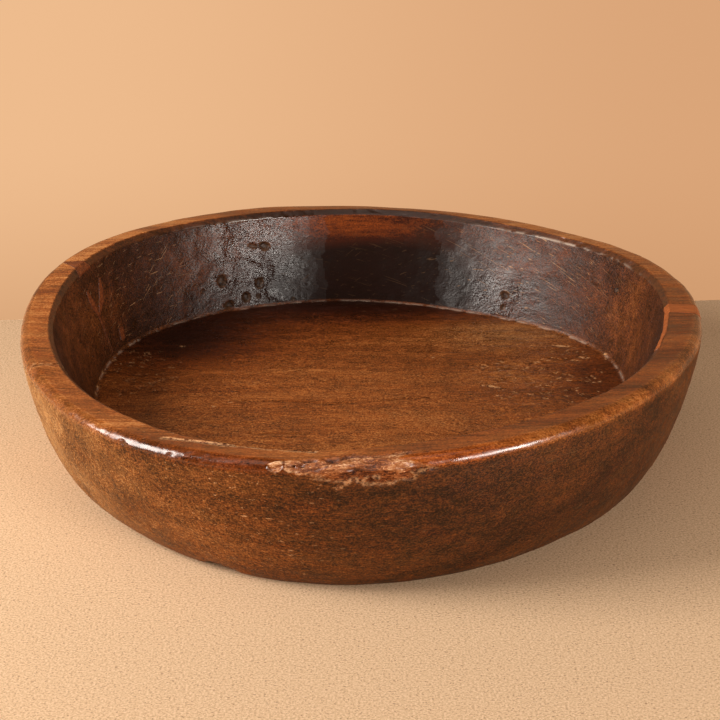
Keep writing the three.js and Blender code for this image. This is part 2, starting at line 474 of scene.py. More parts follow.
def torn_floor(place):
    """Flakes lifted out of the floor along its grain, from 0 to 1."""
    area = np.zeros(len(place))
    for x, y, half_x, half_y in TORN_FLOOR:
        inside = ellipse(place[:, 0] - x, place[:, 1] - y, half_x, half_y, 6.0)
        area = np.maximum(area, smooth(1.25, 0.5, inside))
    flake = noise(turned_place(place, 14.0), (9.0, 5.5, 5.5), 64, 3)
    return smooth(0.56, 0.70, flake + 0.36 * area) * (area > 0.0)


def turned_place(place, angle):
    """The same places, turned about the upright axis by an angle in degrees."""
    turn = np.radians(angle)
    x = place[:, 0] * np.cos(turn) + place[:, 1] * np.sin(turn)
    y = place[:, 1] * np.cos(turn) - place[:, 0] * np.sin(turn)
    return np.stack((x, y, place[:, 2]), axis=1)


def rim_crack(bearing, place, line, wobble_size):
    """Distance to a crack on the rim, given as a line of (bearing, radius)."""
    start = line[0][0]
    x = turned(bearing, start) * RIM_TURN
    radius = np.hypot(place[:, 0], place[:, 1])
    wobble = wobble_size * noise(place, 7.0, 51, 2)
    points = [(round_rim(turn - start), reach) for turn, reach in line]
    return line_gap(x + wobble, radius + wobble, points)[0]


def features(bearing, station, place):
    """What the relief and the colour need to know about each place."""
    zone = zones(station)
    height = place[:, 2]
    spot = {"zone": zone, "splinter": splinter_zone(bearing, station, place), "fibres": fibres(place)}

    pits = np.zeros(len(place))
    pit_mark = np.zeros(len(place))
    wobble = 0.16 * noise(place, 5.0, 61, 2)
    for turn, middle, half_x, half_y, depth in WALL_PITS:
        x = turned(bearing, turn) * WALL_TURN
        inside = ellipse(x, height - middle, half_x, half_y, 20.0) + wobble
        hole = smooth(1.1, 0.55, inside) * zone["inside"]
        pits = np.maximum(pits, depth * hole)
        pit_mark = np.maximum(pit_mark, smooth(1.25, 0.9, inside) * zone["inside"])
    spot["pits"] = pits
    spot["pit_mark"] = pit_mark

    chips = np.zeros(len(place))
    wobble = 0.35 * noise(place, (7, 2, 2), 62, 2)
    for x, y, half_x, half_y, depth in FLOOR_CHIPS:
        inside = ellipse(place[:, 0] - x, place[:, 1] - y, half_x, half_y, -8.0) + wobble
        chips = np.maximum(chips, depth * smooth(1.05, 0.6, inside))
    spot["chips"] = chips * zone["floor"]
    spot["flakes"] = torn_floor(place) * zone["floor"]

    wobble = 1.3 * noise(place, 16.0, 63, 2)
    crack = np.zeros(len(place))
    for line in FLOOR_CRACKS:
        gap = line_gap(place[:, 0], place[:, 1] + wobble, line)[0]
        crack = np.maximum(crack, bell(gap, 0.8))
    spot["floor_crack"] = crack * zone["floor"]

    gap = rim_crack(bearing, place, RIM_CRACK, 0.7)
    check = rim_crack(bearing, place, LEFT_CHECK, 1.2)
    rim = between(station, END["outside"], END["chamfer"] + 2.0, 1.5)
    spot["rim_crack"] = np.maximum(bell(gap, 0.9), 0.6 * bell(check, 0.8)) * rim
    outer_side = np.hypot(place[:, 0], place[:, 1]) > 241.0
    spot["rim_crack_lip"] = (1.3 * bell(gap - 1.4, 0.9) * outer_side + 0.5 * bell(check - 1.4, 0.8)) * rim
    return spot


def relief(bearing, station, place, spot):
    """Height of the fine shape over the smooth bowl, in millimetres, above zero outwards."""
    zone = spot["zone"]
    total = 0.45 * noise(place, 70.0, 1) + 0.16 * noise(place, 24.0, 2)
    total += 0.10 * noise(place, (40, 7, 7), 3, 2)

    total -= zone["inside"] * scoop_strength(bearing) * 1.3 * scoops(bearing, place)
    total += zone["inside"] * 0.10 * noise(place, 7.0, 4, 2)
    total -= spot["pits"]

    total += zone["outside"] * 0.12 * noise(place, (22, 6, 6), 5, 2)
    nicks = np.clip(noise(place, (7, 4, 4), 6, 2) - 0.4, 0.0, 1.0)
    total -= 1.2 * nicks * zone["outer_edge"] * edge_wear(bearing)
    total += 0.12 * edge_wear(bearing) * zone["outer_edge"] * noise(place, 3.0, 7)
    inner_nicks = np.clip(noise(place, 8.0, 8, 2) - 0.3, 0.0, 1.0)
    total -= 1.0 * inner_nicks * zone["chamfer"]

    total += zone["floor"] * 0.10 * noise(place, (60, 4, 4), 9, 2)
    total -= spot["chips"] + 0.6 * spot["flakes"] + 0.7 * spot["floor_crack"]
    total -= 0.9 * bell(station - END["corner"] + 1.0, 1.6) * (0.5 + 0.5 * noise(place, 9.0, 10, 2))

    torn = spot["splinter"]
    total -= torn * (1.9 - 2.1 * spot["fibres"])
    total -= 1.3 * spot["rim_crack"] * (1.0 - torn)
    total -= base_notch(bearing, place)
    return total


def edge_wear(bearing):
    """How chipped the outer edge is round the rim."""
    front_left = near(bearing, -135, 24)
    front_right = near(bearing, -55, 16)
    return 0.04 + 0.85 * front_left + 0.06 * front_right


def base_notch(bearing, place):
    x = turned(bearing, NOTCH_BEARING) * BASE_RADIUS
    inside = ellipse(x, place[:, 2], 15.0, 9.0) + 0.15 * noise(place, 8.0, 71)
    low = np.hypot(place[:, 0], place[:, 1]) > BASE_RADIUS - 25.0
    return 3.2 * smooth(1.1, 0.5, inside) * low


def carved_place(bearing, station, recessed=True):
    """Final place on the bowl, its normal and its features."""
    place = smooth_place(bearing, station)
    normal = smooth_normal(bearing, station)
    spot = features(bearing, station, place)
    height = relief(bearing, station, place, spot)
    if recessed:
        gap = filling_gap(bearing, station, place[:, 2])
        spot["filling"] = gap
        height = height - BED_DEPTH * smooth(-0.6, -2.2, gap)
    carved = place + normal * height[:, None]
    carved[:, 2] = np.maximum(carved[:, 2], 0.0)
    return carved, normal, spot


# ---- meshes

def add_object(name, data):
    thing = bpy.data.objects.new(name, data)
    bpy.context.scene.collection.objects.link(thing)
    return thing


def ring_bearings():
    """Bearings of a full ring, closer together at the torn front of the rim."""
    fine = np.linspace(0.0, 1.0, 20001)
    bearing = SEAM + 2.0 * np.pi * fine
    density = 1.0 + 1.2 * near(bearing, FRONT, 13)
    travel = np.concatenate(((0.0,), np.cumsum((density[1:] + density[:-1]) / 2)))
    share = np.linspace(0.0, 1.0, RING_POINTS + 1)[:-1]
    return np.interp(share * travel[-1], travel, bearing)


def ring_plan():
    """Station and point count of every ring, from the middle of the base to the middle of the floor."""
    # Each band starts where the one before ends: (last station, spacing, fewer points by this factor)
    bands = (
        (40.0, 8.0, 16), (90.0, 8.0, 8), (150.0, 8.0, 4), (END["base"] - 14.0, 7.0, 2),
        (END["base"], 2.0, 1), (END["outside"] - 10.0, 1.7, 1), (END["outer_edge"], 0.7, 1),
        (END["top"], 0.8, 1), (END["chamfer"] + 1.0, 0.6, 1), (END["inside"], 1.05, 1),
        (END["corner"], 0.8, 1), (END["floor"] - 150.0, 1.6, 1), (END["floor"] - 75.0, 1.7, 2),
        (END["floor"] - 36.0, 2.0, 4), (END["floor"] - 1.0, 2.5, 8),
    )
    plan = []
    start = 1.0
    for end, spacing, fewer in bands:
        number = max(1, int(round((end - start) / spacing)))
        plan += [(start + (end - start) * step / number, RING_POINTS // fewer) for step in range(number)]
        start = end
    return plan


def face_rows(*corners):
    """Faces from a series of vertex numbers for each corner, or one number for all of them."""
    return np.stack(np.broadcast_arrays(*corners), axis=1).tolist()


def ring_faces(starts, counts):
    """Quads between rings of equal counts, and triangles where one ring has twice the other's points."""
    faces = []
    for ring in range(len(counts) - 1):
        low, high = starts[ring], starts[ring + 1]
        few, many = counts[ring], counts[ring + 1]
        if few == many:
            here = np.arange(few)
            after = (here + 1) % few
            faces += face_rows(low + here, low + after, high + after, high + here)
            continue
        fan = np.arange(min(few, many))
        after = (fan + 1) % min(few, many)
        if few < many:
            first, middle, last = high + 2 * fan, high + 2 * fan + 1, high + (2 * fan + 2) % many
            faces += face_rows(low + fan, middle, first)
            faces += face_rows(low + fan, low + after, middle)
            faces += face_rows(low + after, last, middle)
        else:
            first, middle, last = low + 2 * fan, low + 2 * fan + 1, low + (2 * fan + 2) % few
            faces += face_rows(first, middle, high + fan)
            faces += face_rows(middle, high + after, high + fan)
            faces += face_rows(middle, last, high + after)
    return faces


def new_piece(name, places, faces, marks):
    """A smooth-shaded mesh object in metres, with one float attribute for each named mark."""
    mesh = bpy.data.meshes.new(name)
    mesh.from_pydata(((places + np.array(CARVING_MIDDLE)) * MM).tolist(), [], faces)
    mesh.polygons.foreach_set("use_smooth", [True] * len(mesh.polygons))
    for mark, values in marks.items():
        attribute = mesh.attributes.new(mark, "FLOAT", "POINT")
        attribute.data.foreach_set("value", values.astype(np.float32))
    mesh.update()
    return add_object(name, mesh)


def share_out_woods(piece, bearing, station, places):
    """Gives each face of the bowl the wood of its stretch, or of its dull band on the inner wall."""
    mesh = piece.data
    for name, _, *settings in WOODS:
        mesh.materials.append(bowl_wood(name, *settings))
    stretch = np.searchsorted([wood[1] for wood in WOODS[:-1]], station)
    index = stretch
    for band, (first, last, wood) in enumerate(DULL_BACK):
        uneven = 2.6 * noise(places, (9, 9, 13), 91 + band, 3)
        away = np.abs(turned(bearing, (first + last) / 2))
        dull = away < np.radians((last - first) / 2 + uneven)
        index = np.where((stretch == WALL) & dull, len(mesh.materials), index)
        mesh.materials.append(bowl_wood(*wood))
    mesh.polygons.foreach_set("material_index", index.astype(np.int32))
    mesh.update()


def bowl_piece():
    full = ring_bearings()
    stations, counts = zip(*ring_plan())
    bearing = np.concatenate([full[:: RING_POINTS // count] for count in counts])
    station = np.repeat(stations, counts)
    starts = np.concatenate(((0,), np.cumsum(counts)[:-1]))
    places, _, spot = carved_place(bearing, station)
    faces = ring_faces(starts, counts)

    middles = np.array((places[: counts[0]].mean(axis=0), places[-counts[-1]:].mean(axis=0)))
    total = len(places)
    first = np.arange(counts[0])
    faces += face_rows(total, (first + 1) % counts[0], first)
    last = np.arange(counts[-1])
    faces += face_rows(total + 1, starts[-1] + last, starts[-1] + (last + 1) % counts[-1])

    marks = bowl_marks(bearing, station, places, spot)
    marks = {name: np.append(values, (values[0], values[-1])) for name, values in marks.items()}
    piece = new_piece("carved_bowl", np.concatenate((places, middles)), faces, marks)
    corner = np.minimum([face[0] for face in faces], total - 1)
    share_out_woods(piece, bearing[corner], station[corner], places[corner])
    return piece


def filling_piece(name, gap_at, surface_at, across, along, step, material):
    """A closed plate cut to its footprint, on a grid over two ranges. gap_at(x, y) is below 0 inside the
    footprint, and surface_at gives the bowl there."""
    columns = np.arange(across[0], across[1] + step, step)
    rows = np.arange(along[0], along[1] + step, step)
    x, y = (grid.ravel() for grid in np.meshgrid(columns, rows))
    gap = gap_at(x, y)
    nudge = 0.05
    slope_x = (gap_at(x + nudge, y) - gap_at(x - nudge, y)) / (2 * nudge)
    slope_y = (gap_at(x, y + nudge) - gap_at(x, y - nudge)) / (2 * nudge)
    border = np.abs(gap) < 0.8 * step
    steep = np.maximum(slope_x ** 2 + slope_y ** 2, 0.3)
    x = x - np.where(border, gap * slope_x / steep, 0.0)
    y = y - np.where(border, gap * slope_y / steep, 0.0)

    width = len(columns)
    cell = (np.arange(len(rows) - 1)[:, None] * width + np.arange(width - 1)[None, :]).ravel()
    corners = np.stack((cell, cell + 1, cell + width + 1, cell + width), axis=1)
    kept = corners[(gap[corners] < 0.8 * step).all(axis=1)]
    used, renamed = np.unique(kept, return_inverse=True)
    kept = renamed.reshape(kept.shape)
    x, y, gap = x[used], y[used], gap[used]

    place, normal = surface_at(x, y)
    crown = 0.15 + 0.20 * smooth(0.0, -1.5, gap)
    ridges = 0.12 * noise(place, (9, 2.5, 2.5), 81, 2)
    top = place + normal * (crown + ridges)[:, None]
    bottom = place - normal * PLATE_DEPTH
    count = len(used)

    edges = np.concatenate([kept[:, (side, (side + 1) % 4)] for side in range(4)])
    forward = edges[:, 0] * count + edges[:, 1]
    backward = edges[:, 1] * count + edges[:, 0]
    start, end = edges[~np.isin(forward, backward)].T
    faces = kept.tolist() + (kept[:, ::-1] + count).tolist()
    faces += face_rows(end, start, start + count, end + count)
    marks = {"rim": np.tile(smooth(-1.6, 0.0, gap), 2)}
    piece = new_piece(name, np.concatenate((top, bottom)), faces, marks)
    piece.data.materials.append(material)
    return piece


def on_rim(x, y):
    """Place and normal under a rim filling: x round the rim, y the station."""
    return carved_place(x / RIM_TURN, y, recessed=False)[:2]


def on_wall(x, y):
    """Place and normal under a wall filling: x round the wall, y the height."""
    bearing = x / WALL_TURN
    return carved_place(bearing, inside_station(bearing, y), recessed=False)[:2]


# ---- colour marks

# Broad changes of tone on each face: (face, two coordinates, two half sizes, tone, warmth).
# The coordinates are x and y on the floor, and bearing and height elsewhere. Some rows are painted
# light and shade, as marked.
TONES_AND_PAINTED_LIGHT = (
    ("inside", 92, 102, 68, 20, 1.1, 1.7),
    ("inside", 85, 50, 100, 30, -1.9, 1.2),
    ("inside", 172, 65, 85, 60, 0.75, 0.0),
    ("inside", 15, 65, 70, 60, 0.8, 0.0),
    ("inside", 52, 70, 60, 60, 0.5, 0.4),
    ("inside", 125, 70, 50, 60, 0.4, 0.3),
    ("floor", -80, -30, 150, 110, 0.55, 0.4),
    # Darker at the back left of the floor: a painted shadow of the left wall
    ("floor", -150, 120, 70, 60, -1.25, 0.5),
    # Darker along the back of the floor, by the wall: painted shade
    ("floor", 0, 225, 200, 60, -1.9, 1.0),
    ("floor", 200, 40, 34, 70, -0.6, 0.2),
    # A lighter, greyer patch at the right back of the floor: a painted sheen
    ("floor", 125, 135, 70, 40, 0.7, -0.7),
    ("floor", 150, 60, 50, 40, 0.3, -0.1),
    # Lighter at the left and front left of the outside, and greyer at the left: painted light and sheen
    ("outside", -165, 50, 150, 90, 1.45, -0.6),
    ("outside", -112, 30, 60, 60, 0.4, 0.3),
    # Darker at the front right and right of the outside: painted shade
    ("outside", -65, 50, 90, 80, -0.45, 0.1),
    ("outside", -38, 50, 60, 60, -0.35, 0.1),
    ("outer_edge", -78, 108, 45, 40, 0.2, 1.2),
    ("outer_edge", -106, 108, 60, 40, -0.4, 1.0),
    ("top", 150, 110, 130, 90, 0.8, 0.1),
    ("top", 50, 110, 110, 90, 0.9, 0.1),
    ("top", -45, 110, 130, 90, -0.35, 0.0),
)


def tone_marks(bearing, place, zone):
    tone_and_painted_light = np.zeros(len(place))
    warm = np.zeros(len(place))
    for face, first, second, half_first, half_second, tone_step, warm_step in TONES_AND_PAINTED_LIGHT:
        if face == "floor":
            x = place[:, 0] - first
            y = place[:, 1] - second
        else:
            x = turned(bearing, first) * WALL_TURN
            y = place[:, 2] - second
        share = np.exp(-((x / half_first) ** 2 + (y / half_second) ** 2)) * zone[face]
        tone_and_painted_light = tone_and_painted_light + tone_step * share
        warm = warm + warm_step * share
    return tone_and_painted_light, warm


def edge_of(share):
    """The border of an area: 1 where its share is a half, 0 inside and outside it."""
    return 4.0 * share * (1.0 - share)


def bowl_marks(bearing, station, place, spot):
    """Attributes that the wood's material reads."""
    zone = spot["zone"]
    back = near(bearing, 92, 28)
    tone_and_painted_light, warm = tone_marks(bearing, place, zone)
    tone_and_painted_light += 0.45 * zone["top"] + 0.3 * zone["outer_edge"] - 0.8 * zone["inside"] + 0.36 * zone["floor"]
    # The chamfer is darker, most of all round the back: painted shade
    tone_and_painted_light -= 0.12 * zone["outside"] + (0.3 + 0.6 * back) * zone["chamfer"]
    warm += 0.5 * zone["top"] + 0.1 * zone["inside"] - 0.4 * zone["outside"] + 0.5 * zone["floor"]

    flake_edge = edge_of(spot["flakes"])
    raw = 0.8 * smooth(0.1, 0.6, spot["chips"]) + 0.9 * flake_edge
    low_edge = edge_of(spot["splinter"]) * (station < END["outside"] + 2.0)
    raw = np.maximum.reduce((raw, 0.12 * spot["pit_mark"], 0.8 * spot["rim_crack_lip"], 0.45 * low_edge))
    # Darker by depth in the cracks, the insect holes and the deepest flakes: painted shade
    dark = spot["rim_crack"] + 0.6 * spot["floor_crack"] + 0.25 * smooth(0.6, 1.0, spot["flakes"])
    dark = np.clip(dark + 0.6 * smooth(0.3, 1.6, spot["pits"]), 0.0, 1.0)

    arris = bell(station - END["chamfer"], 0.9)
    corner = bell(station - END["corner"] + 1.5, 0.9)
    # A pale line of dust in the corner between wall and floor
    dust_and_highlight = corner * (0.35 + 0.6 * near(bearing, 40, 25) + 0.5 * near(bearing, 150, 30))
    # Along the inner arris at the back right and back left: a painted highlight in the same pale colour
    dust_and_highlight = np.maximum(dust_and_highlight, arris * (1.5 * near(bearing, 40, 16) + 0.5 * near(bearing, 118, 12)))
    gloss = near(bearing, 54, 12) * bell(place[:, 2] - 48.0, 34.0) + 1.1 * near(bearing, 115, 14)
    polish = 1.1 * zone["outer_edge"] + 1.2 * zone["inside"] * gloss + 0.3 * zone["top"] + 0.4 * arris
    polish -= 1.5 * spot["pit_mark"]
    scratched = zone["inside"] * (0.05 + near(bearing, 44, 18) + 0.6 * near(bearing, 148, 22))
    scratched += 0.08 * zone["outside"]
    nicked = zone["outside"] * (0.05 + 0.7 * near(bearing, -109, 13)) + 0.03 * zone["inside"]
    nicked += 0.5 * zone["top"] * near(bearing, -130, 20) + 0.12 * zone["floor"]
    return {
        "tone_and_painted_light": tone_and_painted_light, "warm": warm, "raw": np.clip(raw, 0.0, 1.0), "dark": dark, "dust_and_highlight": dust_and_highlight,
        "polish": polish, "torn": spot["splinter"], "scratched": scratched, "nicked": nicked,
        # The height of the torn fibres also colours the torn wood: raised ridges lighter and gaps darker,
        # as painted light and shade
        "scooped": zone["inside"] * scoop_strength(bearing), "fibre_colour_and_shade": 0.42 + 0.24 * spot["fibres"],
    }


# ---- materials

def srgb(red, green, blue):
    """Linear colour from 8-bit display values."""
    shares = np.array((red, green, blue)) / 255.0
    linear = np.where(shares <= 0.04045, shares / 12.92, ((shares + 0.055) / 1.055) ** 2.4)
    return (*linear.tolist(), 1.0)


class Nodes:
    """A short way to add and join the nodes of one tree."""

    def __init__(self, tree):
        self.tree = tree
        self.coordinates = tree.nodes.new("ShaderNodeTexCoord").outputs

    def join(self, value, socket):
        """Links an output to a socket, or sets the socket to a plain value."""
        if isinstance(value, bpy.types.NodeSocket):
            self.tree.links.new(value, socket)
        else:
            socket.default_value = value

    def add(self, kind, output, inputs, **settings):
        """Adds a node, with its settings and then its inputs, and returns one of its outputs."""
        node = self.tree.nodes.new("ShaderNode" + kind)
        for name, setting in settings.items():
            setattr(node, name, setting)
        for name, value in inputs.items():
            self.join(value, node.inputs[name])
        return node.outputs[output]

    def step(self, value, low, high):
        """0 below low, 1 above high, and a smooth step between them."""
        inputs = {"Value": value, "From Min": low, "From Max": high}
        return self.add("MapRange", "Result", inputs, interpolation_type="SMOOTHSTEP")

    def blend(self, share, first, second):
        return self.add("Mix", "Result", {"Factor": share, "A": first, "B": second}, data_type="RGBA")


class Shader(Nodes):
    """The nodes of one material."""

    def __init__(self, name):
        self.material = bpy.data.materials.new(name)
        self.material.use_nodes = True
        super().__init__(self.material.node_tree)
        self.surface = self.tree.nodes["Principled BSDF"]

    def mark(self, name):
        return self.add("Attribute", "Fac", {}, attribute_name=name)

    def math(self, operation, first, second=0.0, clamp=False):
        return self.add("Math", 0, {0: first, 1: second}, operation=operation, use_clamp=clamp)

    def scaled(self, value, amount, start=0.0):
        """value x amount + start"""
        return self.add("Math", 0, {0: value, 1: amount, 2: start}, operation="MULTIPLY_ADD")

    def total(self, *values, clamp=False):
        total = values[0]
        for value in values[1:-1]:
            total = self.math("ADD", total, value)
        return self.math("ADD", total, values[-1], clamp)

    def grain(self, size, detail=2.0, roughness=0.5, distortion=0.0, lean=(0, 0, 0)):
        """Noise from 0 to 1. Size is the length of its grains in millimetres along x, y and z, and lean
        turns them by angles in degrees."""
        inputs = {
            "Vector": self.coordinates["Object"],
            "Rotation": [np.radians(angle) for angle in lean],
            "Scale": [length * MM for length in size],
        }
        place = self.add("Mapping", "Vector", inputs, vector_type="TEXTURE")
        inputs = {"Vector": place, "Scale": 1.0, "Detail": detail, "Roughness": roughness}
        return self.add("TexNoise", "Fac", {**inputs, "Distortion": distortion})

    def ramp(self, value, stops):
        node = self.tree.nodes.new("ShaderNodeValToRGB")
        elements = node.color_ramp.elements
        while len(elements) < len(stops):
            elements.new(0.5)
        for element, (position, colour) in zip(elements, stops):
            element.position = position
            element.color = colour
        self.join(value, node.inputs["Fac"])
        return node.outputs["Color"]

    def bump(self, height, distance, strength=1.0, under=None):
        """A bump of a height in millimetres, over another bump where one is given."""
        inputs = {"Strength": strength, "Distance": distance * MM, "Height": height}
        if under is not None:
            inputs["Normal"] = under
        return self.add("Bump", "Normal", inputs)


# Colour of the painted shade in cracks, holes and flakes
DEEP_SHADE = srgb(22, 8, 3)
DARK = srgb(52, 24, 12)
RAW = srgb(208, 156, 108)
# Pale colour of the corner's dust and of the painted highlight on the inner arris
DUST_AND_HIGHLIGHT = srgb(190, 172, 154)
WARM_STOPS = (
    (0.0, srgb(18, 5, 1)), (0.25, srgb(50, 17, 4)), (0.5, srgb(110, 49, 13)), (0.75, srgb(158, 80, 26)),
    (1.0, srgb(198, 124, 62)),
)
COOL_STOPS = (
    (0.0, srgb(14, 7, 2)), (0.25, srgb(46, 25, 9)), (0.5, srgb(92, 53, 20)), (0.75, srgb(134, 88, 44)),
    (1.0, srgb(176, 134, 86)),
)
# Torn wood from the deepest gaps to the highest ridges: its own colours, with painted shade and highlight
TORN_STOPS = (
    (0.12, srgb(34, 13, 4)), (0.34, srgb(94, 44, 15)), (0.54, srgb(142, 78, 34)),
    (0.68, srgb(172, 114, 70)), (0.88, srgb(216, 174, 134)),
)
FILL_STOPS = ((0.0, srgb(92, 42, 16)), (0.5, srgb(164, 86, 36)), (1.0, srgb(206, 128, 68)))
SAND_STOPS = ((0.3, srgb(164, 132, 100)), (0.5, srgb(207, 175, 140)), (0.7, srgb(227, 199, 166)))
GRIT = srgb(104, 72, 46)

# The wood of each stretch of the section: (name, last station, specular level, roughness, and the
# strength of the streaks, the mottling and the bump)
WOODS = (
    ("outer_wood", END["outside"], 0.16, 0.55, 0.6, 1.1, 1.0),
    ("rim_wood", END["chamfer"], 0.55, 0.46, 1.0, 0.7, 0.4),
    ("wall_wood", END["corner"], 0.38, 0.48, 0.6, 1.3, 2.2),
    ("floor_wood", END["floor"], 0.45, 0.36, 0.35, 1.2, 0.8),
)
WALL = 2

# The back of the inner wall has lost its polish, in bands that lie one inside the other:
# (first bearing, last bearing, wood)
DULL_BACK = (
    (63.5, 104.0, ("worn_wall_wood", 0.28, 0.52, 0.8, 1.0, 1.8)),
    (67.5, 101.0, ("half_dull_wall_wood", 0.18, 0.56, 0.8, 0.8, 1.5)),
    (71.5, 98.0, ("dull_wall_wood", 0.08, 0.60, 1.0, 0.6, 1.0)),
)


def scratches(wood, length, depth, width, lean, low):
    """Short scratches in the inner wall, as a share from 0 to 1."""
    strokes = wood.grain((length, depth, width), 1.0, 0.5, 0.3, lean)
    return wood.step(strokes, low, low + 0.04)


def bowl_wood(name, specular, roughness, streaks, mottling, bumps):
    wood = Shader(name)
    wood.surface.inputs["Specular IOR Level"].default_value = specular
    broad = wood.grain((170, 30, 30), 3.0, 0.55, 0.6)
    streak = wood.grain((56, 2.6, 2.6), 3.0, 0.65)
    fine = wood.grain((9, 0.8, 0.8), 2.0, 0.7)
    patch = wood.grain((16, 9, 9), 3.0, 0.6, 0.4)
    hide = wood.grain((2.6, 2.0, 2.0), 2.0, 0.6)
    speckle = wood.grain((1.3, 1.0, 1.0), 1.0, 0.5)

    layers = (
        (broad, 0.5 + streaks), (streak, streaks), (fine, 1.1 * mottling), (patch, 0.55 * mottling),
        (hide, 0.7 * mottling), (speckle, 1.2 * mottling),
    )
    mottle = wood.total(1.0, *(wood.scaled(layer, amount, -amount / 2) for layer, amount in layers))
    level = wood.math("MAXIMUM", wood.scaled(wood.mark("tone_and_painted_light"), 0.30, 0.46), 0.03)
    level = wood.math("MULTIPLY", level, mottle)
    warm_wood = wood.ramp(level, WARM_STOPS)
    cool_wood = wood.ramp(level, COOL_STOPS)
    hue = wood.total(wood.scaled(wood.mark("warm"), 0.5, 0.4), wood.scaled(patch, 0.8, -0.4),
                     wood.scaled(fine, 0.8, -0.4), clamp=True)
    colour = wood.blend(hue, cool_wood, warm_wood)

    strokes = wood.math("MAXIMUM", scratches(wood, 38, 14, 0.8, (0, -17, 135), 0.70),
                        scratches(wood, 14, 10, 0.8, (0, -40, 60), 0.71))
    strokes = wood.math("MULTIPLY", strokes, wood.mark("scratched"))
    nick_noise = wood.grain((7, 1.6, 1.6), 2.0, 0.6)
    nicks = wood.math("MULTIPLY", wood.step(nick_noise, 0.67, 0.71), wood.mark("nicked"))
    worn = wood.math("MAXIMUM", wood.scaled(strokes, 0.6), nicks)
    colour = wood.blend(worn, colour, RAW)

    splinters = wood.grain((5, 1.4, 1.4), 4.0, 0.8, 1.6, (0, 0, 8))
    # Torn wood: its own colours, with the ridges lighter and the gaps darker as painted light and shade
    torn_level = wood.total(wood.mark("fibre_colour_and_shade"), wood.scaled(splinters, 2.0, -0.98))
    colour = wood.blend(wood.mark("torn"), colour, wood.ramp(torn_level, TORN_STOPS))
    raw_share = wood.math("MULTIPLY", wood.mark("raw"), wood.step(hide, 0.36, 0.56), clamp=True)
    colour = wood.blend(raw_share, colour, RAW)
    # Pale dust in the corner, and a painted highlight along the inner arris
    dust_and_highlight_share = wood.math("MULTIPLY", wood.mark("dust_and_highlight"), wood.step(patch, 0.44, 0.6), clamp=True)
    colour = wood.blend(wood.scaled(dust_and_highlight_share, 0.6), colour, DUST_AND_HIGHLIGHT)
    # Painted shade in the cracks, holes and flakes
    colour = wood.blend(wood.scaled(wood.mark("dark"), 0.8), colour, DEEP_SHADE)
    wood.join(colour, wood.surface.inputs["Base Color"])

    rough = wood.total(
        wood.scaled(wood.mark("polish"), -0.2, roughness), wood.scaled(patch, 0.5, -0.25),
        wood.scaled(speckle, 0.16, -0.08), wood.scaled(worn, 0.2),
        wood.scaled(wood.mark("torn"), 0.25), clamp=True)
    wood.join(rough, wood.surface.inputs["Roughness"])

    normal = wood.bump(hide, 0.26 * bumps, 0.6)
    normal = wood.bump(streak, 0.3 * bumps, 0.5, normal)
    normal = wood.bump(fine, 0.14 * bumps, 0.7, normal)
    hammered = wood.math("MULTIPLY", wood.grain((8, 7, 7), 2.0, 0.5), wood.mark("scooped"))
    normal = wood.bump(hammered, 1.2, 0.6, normal)
    wood.join(normal, wood.surface.inputs["Normal"])
    return wood.material


def fill_wood(name, shade):
    """Orange filling. Shade is 0 for the brighter filling and 1 for the darker ones."""
    fill = Shader(name)
    streak = fill.grain((30, 2.4, 2.4), 3.0, 0.6)
    fine = fill.grain((7, 0.8, 0.8), 2.0, 0.6)
    level = fill.total(fill.scaled(streak, 0.9, -0.1 - 0.35 * shade), fill.scaled(fine, 0.6, -0.2))
    colour = fill.ramp(level, FILL_STOPS)
    colour = fill.blend(fill.scaled(fill.mark("rim"), 0.5), colour, DARK)
    fill.join(colour, fill.surface.inputs["Base Color"])
    fill.join(fill.scaled(streak, 0.2, 0.42), fill.surface.inputs["Roughness"])
    fill.join(fill.bump(fine, 0.2, 0.6), fill.surface.inputs["Normal"])
    return fill.material


def sand_floor():
    sand = Shader("pale_floor")
    specks = sand.grain((1.5, 1.2, 1.2), 3.0, 0.7)
    colour = sand.ramp(specks, SAND_STOPS)
    grit = sand.step(sand.grain((1.9, 1.5, 1.5), 1.0, 0.5), 0.64, 0.72)
    colour = sand.blend(sand.scaled(grit, 0.6), colour, GRIT)
    sand.join(colour, sand.surface.inputs["Base Color"])
    sand.surface.inputs["Roughness"].default_value = 0.9
    sand.surface.inputs["Specular IOR Level"].default_value = 0.2
    return sand.material


# ---- stage, lights and camera

CAMERA_PLACE = Vector((-1.43, -1039.7, 520.7)) * MM
CAMERA_TARGET = Vector((-1.43, 1.84, 62.94)) * MM
CAMERA_ROLL = -0.12
LENS = 72.18
SENSOR = 36.0

# The table, in metres: its half width, its front edge, and its back edge at the left and right ends
TABLE_HALF_WIDTH = 2.4
TABLE_FRONT = -2.6
TABLE_BACK = (0.098, 0.434)

# The backdrop is lighter at the left and darker low down: a painted fall-off of light across it
BACKDROP_LIT_LEFT = srgb(238, 188, 142)
BACKDROP_DIM_RIGHT = srgb(218, 165, 121)
BACKDROP_DIM_LOW = srgb(192, 138, 94)
ROOM_FRONT = srgb(34, 26, 20)
ROOM_BACK = srgb(196, 146, 104)
ROOM_TOP = srgb(74, 60, 48)


def aim(thing, target):
    thing.rotation_euler = (target - thing.location).to_track_quat("-Z", "Y").to_euler()


def add_camera():
    data = bpy.data.cameras.new("camera")
    data.lens = LENS
    data.sensor_width = SENSOR
    camera = add_object("camera", data)
    camera.location = CAMERA_PLACE
    aim(camera, CAMERA_TARGET)
    camera.rotation_euler.rotate_axis("Z", np.radians(CAMERA_ROLL))
    bpy.context.scene.camera = camera


